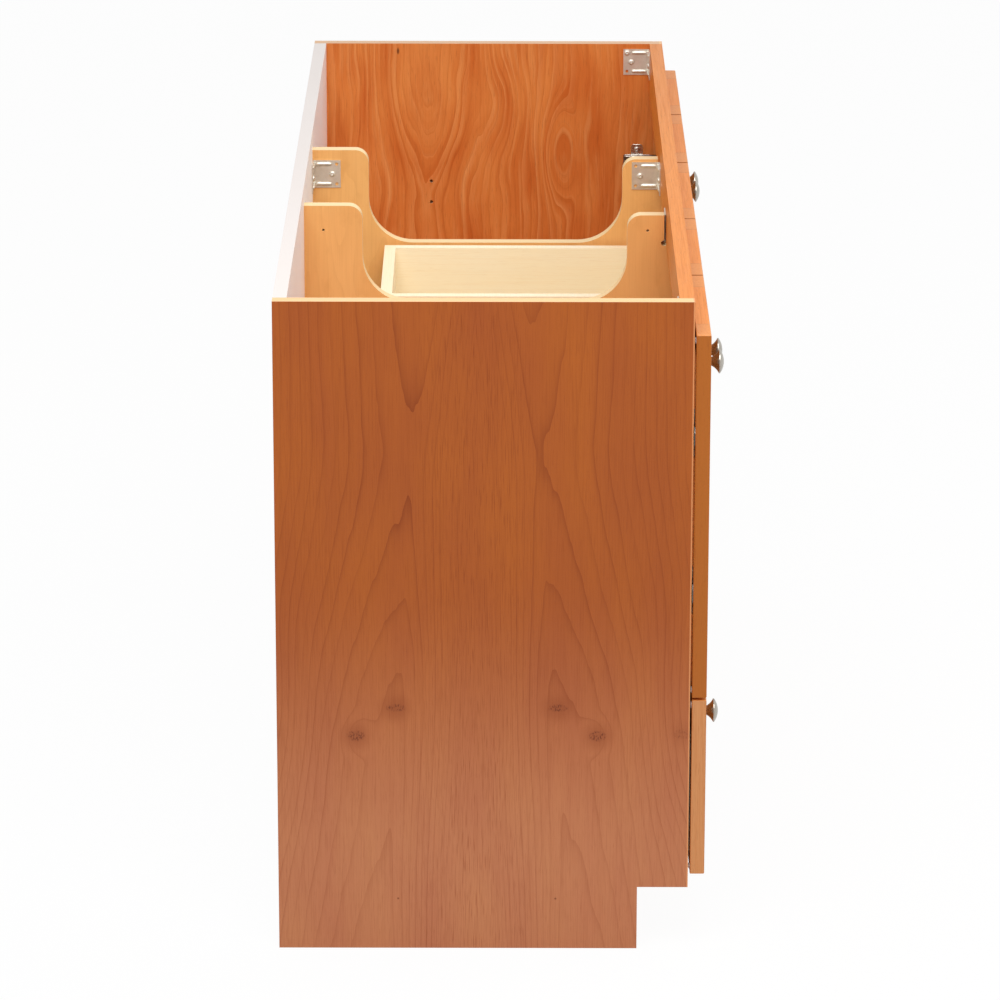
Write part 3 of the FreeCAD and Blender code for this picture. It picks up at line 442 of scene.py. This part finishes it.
def birch_plywood(name, along_axis, thick_axis):
    """Rotary-cut birch plywood under clear lacquer: soft flame on the faces, bare plies on the edges.

    It gives pale honey faces with faint wide figure and small mottles. The plies are about 1.5 mm thick and
    alternate pale and darker across the board's thickness; the edges at the case's front are stained."""
    light, dark, line = colour("EBAC62"), colour("F4BD76"), colour("DB9A52")
    edge_light, edge_dark = colour("F6D9A4"), colour("EACB94")
    contrast, ply_pair, stained_depth = 0.4, 0.0029, 0.08
    material, tree = new_material(name)
    _, split, normal = surface_place(tree)
    across_axis = ({0, 1, 2} - {along_axis, thick_axis}).pop()
    along, thick, across = split[along_axis], split[thick_axis], split[across_axis]
    streaks, _, patches = grain_layers(tree, across, along, thick)
    face_place = add(tree, "CombineXYZ", across, thick, along)
    flame_place = add(tree, "Mapping", face_place, None, None, (8.0, 8.0, 1.6))  # 125 mm across, 620 mm along
    flame = add(tree, "TexNoise", flame_place, None, 1.0, 3.0, 0.5)
    rings = add(tree, "Math", flame, 16.0, operation="MULTIPLY")
    lines = ring_lines(tree, rings, patches, 2.5)
    lines = add(tree, "Math", lines, contrast, operation="MULTIPLY")
    wood = add(tree, "MixRGB", patches, light, dark)
    wood = add(tree, "MixRGB", lines, wood, line)
    shade = add(tree, "MapRange", streaks, 0.45, 0.8, 0.0, contrast)
    wood = add(tree, "MixRGB", shade, wood, line)
    mottle_place = add(tree, "Mapping", face_place, None, None, (45.0, 45.0, 26.0))  # 22 by 38 mm
    mottle = add(tree, "TexNoise", mottle_place, None, 1.0, 4.0, 0.6)
    mottle = add(tree, "MapRange", mottle, 0.52, 0.72, 0.0, contrast)
    wood = add(tree, "MixRGB", mottle, wood, line)

    plies = add(tree, "Math", thick, 2 * math.pi / ply_pair, operation="MULTIPLY")
    plies = add(tree, "Math", plies, operation="SINE")
    plies = add(tree, "MapRange", plies, -0.4, 0.4, 0.0, 1.0)
    edge = add(tree, "MixRGB", plies, edge_light, edge_dark)
    edge_streaks = add(tree, "Math", streaks, 0.3, operation="MULTIPLY")
    edge = add(tree, "MixRGB", edge_streaks, edge, edge_light)
    forward = add(tree, "Math", normal[1], -0.6, operation="LESS_THAN")
    stain_end = CASE_FRONT + stained_depth
    at_front = add(tree, "MapRange", split[1], stain_end, stain_end + 0.001, 0.85, 0.0)
    forward = add(tree, "Math", forward, at_front, operation="MULTIPLY")
    edge = add(tree, "MixRGB", forward, edge, colour(FRONT_STAIN))
    flat = add(tree, "Math", normal[thick_axis], operation="ABSOLUTE")
    is_face = add(tree, "Math", flat, 0.5, operation="GREATER_THAN")
    wood = add(tree, "MixRGB", is_face, edge, wood)
    roughness = add(tree, "MapRange", streaks, 0.3, 0.7, 0.40, 0.52)
    bump = add(tree, "Bump", 0.1, 0.0003, named={"Height": streaks})
    finish_material(tree, Base_Color=wood, Roughness=roughness, Normal=bump)
    return material


def drawer_box_maple(name):
    """Maple drawer sides, plane-smoothed and clear-lacquered: nearly plain, with grain along each wall.

    The cream is paler than the maple's own colour: painted light for the drawer's shaded inside.
    """
    material, tree = new_material(name)
    _, (x, y, z), normal = surface_place(tree)
    sideways = add(tree, "Math", normal[0], operation="ABSOLUTE")
    sideways = add(tree, "Math", sideways, 0.5, operation="GREATER_THAN")
    swap = add(tree, "Math", y, x, operation="SUBTRACT")
    swap = add(tree, "Math", swap, sideways, operation="MULTIPLY")
    along = add(tree, "Math", x, swap, operation="ADD")
    depth = add(tree, "Math", y, swap, operation="SUBTRACT")
    streaks, pores, patches = grain_layers(tree, z, along, depth)
    # Cream lifted paler than bare maple: painted light for the shaded inside of the drawer.
    wood = add(tree, "MixRGB", patches, colour("FFECC4"), colour("FFF4D8"))
    shade = add(tree, "MapRange", streaks, 0.45, 0.8, 0.0, 0.4)
    wood = add(tree, "MixRGB", shade, wood, colour("F8DEAE"))
    open_pores = add(tree, "Math", pores, 0.15, operation="MULTIPLY")
    wood = add(tree, "MixRGB", open_pores, wood, colour("D9B074"))
    roughness = add(tree, "MapRange", streaks, 0.3, 0.7, 0.38, 0.5)
    bump = add(tree, "Bump", 0.08, 0.0003, named={"Height": streaks})
    finish_material(tree, Base_Color=wood, Roughness=roughness, Normal=bump)
    return material


def white_backboard(name):
    """Hardboard faced with white melamine film: matt white, with a greyer cut edge on top.

    A faint orange peel 4 mm wide and clouds 170 mm wide break up its sheen."""
    material, tree = new_material(name)
    place, _, normal = surface_place(tree)
    peel = add(tree, "TexNoise", place, None, 260.0, 2.0, 0.5)
    clouds = add(tree, "TexNoise", place, None, 6.0, 3.0, 0.6)
    film = add(tree, "MixRGB", clouds, colour("F4EFEC"), colour("FAF7F5"))
    is_edge = add(tree, "Math", normal[2], 0.5, operation="GREATER_THAN")
    film = add(tree, "MixRGB", is_edge, film, colour("DDD5D1"))
    roughness = add(tree, "MapRange", clouds, 0.3, 0.7, 0.42, 0.55)
    bump = add(tree, "Bump", 0.06, 0.0003, named={"Height": peel})
    finish_material(tree, Base_Color=film, Roughness=roughness, Normal=bump)
    return material


# Metals and plastics

def plated_steel(name, light, dark, smooth, rough, spangle):
    """Pressed or turned metal with a plated skin, which mirrors softly: a cloudy tint and fine rolling marks.

    The clouds are 1000 / spangle mm wide, 7 to 17 mm; the marks are 1 mm wide and 17 mm long."""
    material, tree = new_material(name)
    place = add(tree, "TexCoord", out=3)
    clouds = add(tree, "TexNoise", place, None, spangle, 3.0, 0.6)
    roll_place = add(tree, "Mapping", place, None, None, (900.0, 60.0, 900.0))
    marks = add(tree, "TexNoise", roll_place, None, 1.0, 2.0, 0.5)
    skin = add(tree, "MixRGB", clouds, colour(light), colour(dark))
    roughness = add(tree, "MapRange", marks, 0.3, 0.7, smooth, rough)
    bump = add(tree, "Bump", 0.05, 0.0002, named={"Height": marks})
    finish_material(tree, Base_Color=skin, Metallic=1.0, Roughness=roughness, Normal=bump)
    return material


def clear_silicone(name):
    """Soft moulded silicone bumper: milky, smooth, slightly see-through, with a 2.5 mm haze."""
    material, tree = new_material(name)
    place = add(tree, "TexCoord", out=3)
    haze = add(tree, "TexNoise", place, None, 400.0, 2.0, 0.5)
    tint = add(tree, "MixRGB", haze, colour("E8E8E4"), colour("F6F6F2"))
    finish_material(tree, Base_Color=tint, Roughness=0.25, IOR=1.41, Transmission_Weight=0.1)
    return material


# New pieces: turned fasteners and bumpers, and round bars pressed into sheet steel

def add_piece(name, points, faces, body, material):
    """One smooth mesh of all the copies, with its seams and poles closed, riding on a body."""
    mesh = bpy.data.meshes.new(name)
    mesh.from_pydata(np.concatenate(points).tolist(), [], np.concatenate(faces).tolist())
    mesh.polygons.foreach_set("use_smooth", np.ones(len(mesh.polygons), bool))
    mesh.materials.append(material)
    piece = bpy.data.objects.new(name, mesh)
    bpy.context.scene.collection.objects.link(piece)
    modifier = piece.modifiers.new("weld", "WELD")
    modifier.merge_threshold = 0.00002
    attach(piece, body)


def lathe(name, profile, places, body, material):
    """Copies of a turned shape: radius and height of the profile, swept round its axis.

    A point is place + radius (cos a, sin a) across the axis + height along it; places are
    (origin, axis) pairs."""
    profile = np.asarray(profile, float)
    turns = 24
    angle = np.linspace(0, 2 * np.pi, turns, endpoint=False)
    rows = len(profile)
    row, column = np.meshgrid(np.arange(rows - 1), np.arange(turns), indexing="ij")
    after = (column + 1) % turns
    quads = np.stack([row * turns + column, row * turns + after,
                      (row + 1) * turns + after, (row + 1) * turns + column], axis=-1).reshape(-1, 4)
    all_points, all_faces = [], []
    for count, (origin, axis) in enumerate(places):
        axis = np.asarray(axis, float)
        side = np.array([axis[2], axis[0], axis[1]])
        other = np.cross(axis, side)
        ring = np.cos(angle)[:, None] * side + np.sin(angle)[:, None] * other
        points = profile[:, 0][:, None, None] * ring + profile[:, 1][:, None, None] * axis
        all_points.append(points.reshape(-1, 3) + np.asarray(origin, float))
        all_faces.append(quads + count * rows * turns)
    add_piece(name, all_points, all_faces, body, material)


def pressed_bars(name, bars, half_width, height, underside, material):
    """Ribs pressed into the case's sheet steel, or its rolled edges: round bars with both ends drawn down.

    A point is start + s (end - start), plus the taper sqrt(1 - |2s - 1|^6) times
    (half_width cos t across + height max(sin t, underside) out): underside 0 is flat and -1 is round."""
    along_count, round_count = 22, 19
    share = np.linspace(0, 1, along_count)
    turn = np.linspace(0, 2 * np.pi, round_count)
    taper = np.sqrt(np.clip(1 - np.abs(2 * share - 1) ** 6, 0, 1))[:, None, None]
    row, column = np.meshgrid(np.arange(along_count - 1), np.arange(round_count - 1), indexing="ij")
    first = row * round_count + column
    quads = np.stack([first, first + 1, first + round_count + 1, first + round_count], axis=-1).reshape(-1, 4)
    all_points, all_faces = [], []
    for count, (start, end, out) in enumerate(bars):
        start, end, out = (np.asarray(v, float) for v in (start, end, out))
        across = np.cross(out, (end - start) / np.linalg.norm(end - start))
        section = half_width * np.cos(turn)[:, None] * across
        section = section + height * np.maximum(np.sin(turn), underside)[:, None] * out
        points = start + share[:, None, None] * (end - start) + taper * section
        all_points.append(points.reshape(-1, 3))
        all_faces.append(quads + count * along_count * round_count)
    add_piece(name, all_points, all_faces, "case", material)


# Camera, light and floor

def set_camera():
    """The photograph's view: a long lens, a little above the cabinet, along its length."""
    pitch, yaw, roll = math.radians(17.44), math.radians(0.082), math.radians(0.085)
    sensor, focal_per_sensor = 36.0, 5.2014
    stand = (-7.0843, BACK_Y - 0.2970, 2.6010)
    forward = Vector((math.cos(pitch) * math.cos(yaw), math.cos(pitch) * math.sin(yaw), -math.sin(pitch)))
    level = Vector((math.sin(yaw), -math.cos(yaw), 0))
    upward = level.cross(forward)
    right = math.cos(roll) * level + math.sin(roll) * upward
    up = -math.sin(roll) * level + math.cos(roll) * upward
    lens = bpy.data.cameras.new("photo_camera")
    lens.sensor_width = sensor
    lens.lens = sensor * focal_per_sensor
    lens.clip_end = 200.0
    camera = bpy.data.objects.new("photo_camera", lens)
    turn = Matrix((right, up, -forward)).transposed().to_4x4()
    camera.matrix_world = Matrix.Translation(stand) @ turn
    bpy.context.scene.collection.objects.link(camera)
    bpy.context.scene.camera = camera


def area_lamp(name, place, target, size, power):
    """A square soft lamp at a place, aimed at a target; its side is size and its power is in watts."""
    lamp = bpy.data.lights.new(name, "AREA")
    lamp.shape = "SQUARE"
    lamp.size = size
    lamp.energy = power
    piece = bpy.data.objects.new(name, lamp)
    aim = (Vector(target) - Vector(place)).to_track_quat("-Z", "Y")
    piece.matrix_world = Matrix.Translation(place) @ aim.to_matrix().to_4x4()
    bpy.context.scene.collection.objects.link(piece)


def seen_rays(tree):
    """1 for the rays that show a surface: straight to the camera, or by way of metal or clear plastic."""
    ray = add(tree, "LightPath").node.outputs
    seen = add(tree, "Math", ray["Is Camera Ray"], ray["Is Glossy Ray"], operation="MAXIMUM")
    return add(tree, "Math", seen, ray["Is Transmission Ray"], operation="MAXIMUM")


def set_world(ambient):
    """A white surround that lights the cabinet at the ambient strength."""
    world = bpy.data.worlds.new("white_room")
    world.use_nodes = True
    tree = world.node_tree
    tree.nodes.clear()
    strength = add(tree, "MapRange", seen_rays(tree), 0.0, 1.0, ambient, 1.0)
    sky = add(tree, "Background", (1.0, 1.0, 1.0, 1.0), strength)
    add(tree, "OutputWorld", sky)
    bpy.context.scene.world = world


def set_floor():
    """A matt white floor that shows nearly as white as the surround and keeps a faint shadow."""
    material, tree = new_material("white_floor")
    matt = add(tree, "BsdfDiffuse", (0.85, 0.85, 0.85, 1.0))
    glow = add(tree, "Emission", (1.0, 1.0, 1.0, 1.0), 1.0)
    share = add(tree, "Math", seen_rays(tree), 0.95, operation="MULTIPLY")
    add(tree, "OutputMaterial", add(tree, "MixShader", share, matt, glow))
    mesh = bpy.data.meshes.new("floor")
    reach = 12.0
    corners = [(-reach, -reach, 0), (reach, -reach, 0), (reach, reach, 0), (-reach, reach, 0)]
    mesh.from_pydata(corners, [], [(0, 1, 2, 3)])
    mesh.materials.append(material)
    floor = bpy.data.objects.new("floor", mesh)
    bpy.context.scene.collection.objects.link(floor)


def dress(node, material):
    """Gives one CAD piece its finish."""
    slots = nodes[node].data.materials
    slots.clear()
    slots.append(material)


# Finishes on the cabinet's pieces

bpy.context.scene.view_settings.view_transform = "Standard"

dress("left_end_panel", veneer_panel("figured_alder_left", -1.0, "EEC692", "E2B27A"))
dress("right_end_panel", veneer_panel("figured_alder_right", 1.0, "DDB48C", "CFA27A"))
dress("end_panel_edge_bands", veneer_panel("figured_alder_lipping", 0.0, "EEC894", "E0B47E"))

# One finish with lying grain for the rail and the toe board: no stiles, so the box is only a stand-in.
stained_rail = framed_front("stained_alder_rail", (-9, 0, 0), (9, 0, 0), False, pale_lit_colours=("D57D2F", "E08A32"),
                            inside_stained=False)
dress("front_top_rail", stained_rail)
dress("toe_kick_board", stained_rail)

birch_upright = birch_plywood("birch_plywood_upright", along_axis=2, thick_axis=0)
birch_lying = birch_plywood("birch_plywood_lying", along_axis=0, thick_axis=2)
for node in ("left_partition", "right_partition"):
    dress(node, birch_upright)
for node in ("bottom_panel", "left_bay_shelf", "right_bay_shelf"):
    dress(node, birch_lying)
dress("back_panel", white_backboard("white_film_hardboard"))

# Bright zinc blurs what it mirrors; nickel is smoother and a little darker; the hinges' moving parts have
# a dark nickel, a painted shade for the shadowed gap they sit in; the knobs and adjusting screws a satin one.
zinc = plated_steel("zinc_plated_steel", "EDE9DE", "D5D0C6", 0.42, 0.55, 140.0)
nickel = plated_steel("nickel_plated_steel", "DEDAD2", "C6C2BA", 0.22, 0.34, 90.0)
painted_shade_nickel = plated_steel("dull_nickel_plated_steel", "8E8A82", "76726C", 0.34, 0.46, 90.0)
satin = plated_steel("satin_nickel", "B8B2A8", "A39D93", 0.24, 0.36, 60.0)
silicone = clear_silicone("clear_silicone")
maple = drawer_box_maple("lacquered_maple")

dress("corner_brackets", zinc)
dress("slide_case_members", zinc)
dress("hinge_mounting_plates", nickel)
# Dark hinge arms, pins and cups: painted shade for the gap between door and case.
dress("hinge_arms", painted_shade_nickel)
dress("hinge_pins", painted_shade_nickel)

DOORS = ("left_outer_door", "left_inner_door", "right_inner_door", "right_outer_door")
DRAWERS = ("upper_middle_drawer", "lower_middle_drawer", "left_bottom_drawer", "right_bottom_drawer")
for door in DOORS:
    low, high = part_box(door + "_frame")
    dress(door + "_frame", framed_front(door + "_frame_alder", low, high, None))
    dress(door + "_panel", framed_front(door + "_panel_alder", low, high, True))
    dress(door + "_hinge_cups", painted_shade_nickel)
    dress(door + "_knob", satin)
for drawer in DRAWERS:
    low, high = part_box(drawer + "_front_frame")
    tall = bool(high[2] - low[2] > high[0] - low[0])
    dress(drawer + "_front_frame", framed_front(drawer + "_frame_alder", low, high, None, "C3895C"))
    dress(drawer + "_front_panel", framed_front(drawer + "_panel_alder", low, high, tall))
    dress(drawer + "_box", maple)
    dress(drawer + "_slide_members", zinc)
    dress(drawer + "_slide_carriages", zinc)
    dress(drawer + "_knob", satin)

# Corner brackets: screws and pressed ribs on both legs

INNER_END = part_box("right_bay_shelf")[1][0]
MIDDLE_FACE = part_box("right_partition")[0][0]
SIDE_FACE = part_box("right_partition")[1][0]
RAIL_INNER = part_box("front_top_rail")[1][1]
BACK_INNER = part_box("back_panel")[0][1]
SHEET = 0.0016
BRACKET_HEIGHT = 0.040
END_DROP, RAIL_DROP, BACK_DROP = 0.008, 0.0421, 0.040  # from the cabinet's top to each bracket's
LEG_HOLE, OUTER_HOLE = 0.028, 0.0345                   # from the corner to the screws
RIB_INSET = 0.0055
RIB_START, RIB_END = 0.003, 0.028
RIB_HALF_WIDTH, RIB_HEIGHT = 0.003, 0.0021
# Radius and height, from the middle of the underside over the rim and down into the recess.
PAN_HEAD = ((0.0, 0.0), (0.0043, 0.0), (0.0043, 0.0008), (0.0040, 0.0016), (0.0032, 0.0022), (0.0018, 0.0025),
            (0.0009, 0.0025), (0.0007, 0.0012), (0.0, 0.0010))

heads, ribs = [], []
for sign in (-1, 1):
    brackets = ((sign * INNER_END, RAIL_INNER, 1, END_DROP),
                (sign * MIDDLE_FACE, RAIL_INNER, 1, RAIL_DROP),
                (sign * MIDDLE_FACE, BACK_INNER, -1, BACK_DROP))
    for x, y, into, drop in brackets:
        top = HEIGHT - drop
        middle = top - BRACKET_HEIGHT / 2
        heads.append(((x - sign * SHEET, y + into * LEG_HOLE, middle), (-sign, 0, 0)))
        heads.append(((x - sign * LEG_HOLE, y + into * SHEET, middle), (0, into, 0)))
        for z in (top - BRACKET_HEIGHT + RIB_INSET, top - RIB_INSET):
            ribs.append(((x - sign * SHEET, y + into * RIB_START, z),
                         (x - sign * SHEET, y + into * RIB_END, z), (-sign, 0, 0)))
            ribs.append(((x - sign * RIB_START, y + into * SHEET, z),
                         (x - sign * RIB_END, y + into * SHEET, z), (0, into, 0)))
    upper_hole = (sign * (INNER_END - SHEET), RAIL_INNER + OUTER_HOLE, HEIGHT - END_DROP - RIB_INSET)
    heads.append((upper_hole, (-sign, 0, 0)))
lathe("bracket_screws", PAN_HEAD, heads, "case", zinc)
pressed_bars("bracket_ribs", ribs, RIB_HALF_WIDTH, RIB_HEIGHT, 0.0, zinc)

# Hinges: adjusting screws on the arms, plate screws in the wings, rolled edges on both

HINGE_INSET = 0.031                 # from the end of the cups' reach to each hinge's middle
ARM_TOP, PLATE_TOP = 0.011, 0.002   # out from the panel
ADJUSTER_SETBACKS = (0.016, 0.049)  # behind the case's front
WING_SETBACK, WING_RISE = 0.037, 0.0165
# Height off the panel, half spread, and first and last setback of the wings', channel's and arm's edges.
ROLLED_EDGES = ((0.0018, 0.0238, 0.030, 0.044), (0.0022, 0.0076, 0.012, 0.0575),
                (0.0108, 0.0073, 0.012, 0.0575))
ROLLED_RADIUS = 0.0008
ADJUSTER = ((0.0, 0.0), (0.0036, 0.0), (0.0036, 0.0010), (0.0031, 0.0014), (0.0012, 0.0014), (0.0008, 0.0004),
            (0.0, 0.0004))

arm_heads, wing_heads, rolled = [], [], []
cup_low, cup_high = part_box("right_outer_door_hinge_cups")
for sign in (-1, 1):
    for face, inward in ((sign * INNER_END, -sign), (sign * SIDE_FACE, sign)):
        for z in (cup_low[2] + HINGE_INSET, cup_high[2] - HINGE_INSET):
            for setback in ADJUSTER_SETBACKS:
                arm_heads.append(((face + inward * ARM_TOP, CASE_FRONT + setback, z), (inward, 0, 0)))
            for rise in (-WING_RISE, WING_RISE):
                wing = (face + inward * PLATE_TOP, CASE_FRONT + WING_SETBACK, z + rise)
                wing_heads.append((wing, (inward, 0, 0)))
            for up in (-1, 1):
                for out, reach, first, last in ROLLED_EDGES:
                    rolled.append(((face + inward * out, CASE_FRONT + first, z + up * reach),
                                   (face + inward * out, CASE_FRONT + last, z + up * reach), (0, 0, up)))
lathe("hinge_adjusting_screws", ADJUSTER, arm_heads, "case", satin)
lathe("hinge_plate_screws", PAN_HEAD, wing_heads, "case", nickel)
pressed_bars("hinge_rolled_edges", rolled, ROLLED_RADIUS, ROLLED_RADIUS, -1.0, nickel)

# Bumpers behind the four corners of each front

BUMPER_INSET = 0.0085
DOME = ((0.0, 0.0), (0.0045, 0.0), (0.0044, 0.0007), (0.0037, 0.0014), (0.0022, 0.0019), (0.0, 0.0020))
for front in DOORS + DRAWERS:
    part = "_frame" if front in DOORS else "_front_frame"
    low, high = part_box(front + part)
    spots = []
    for x in (low[0] + BUMPER_INSET, high[0] - BUMPER_INSET):
        for z in (low[2] + BUMPER_INSET, high[2] - BUMPER_INSET):
            spots.append(((x, high[1], z), (0, 1, 0)))
    lathe(front + "_bumpers", DOME, spots, front, silicone)

set_camera()
set_world(0.62)
area_lamp("high_softbox", (-2.1, 0.0, 3.1), (0.1, 0.0, 0.7), 2.0, 66.0)
area_lamp("front_fill", (0.2, -2.4, 3.0), (0.2, 0.2, 0.7), 1.8, 30.0)
set_floor()
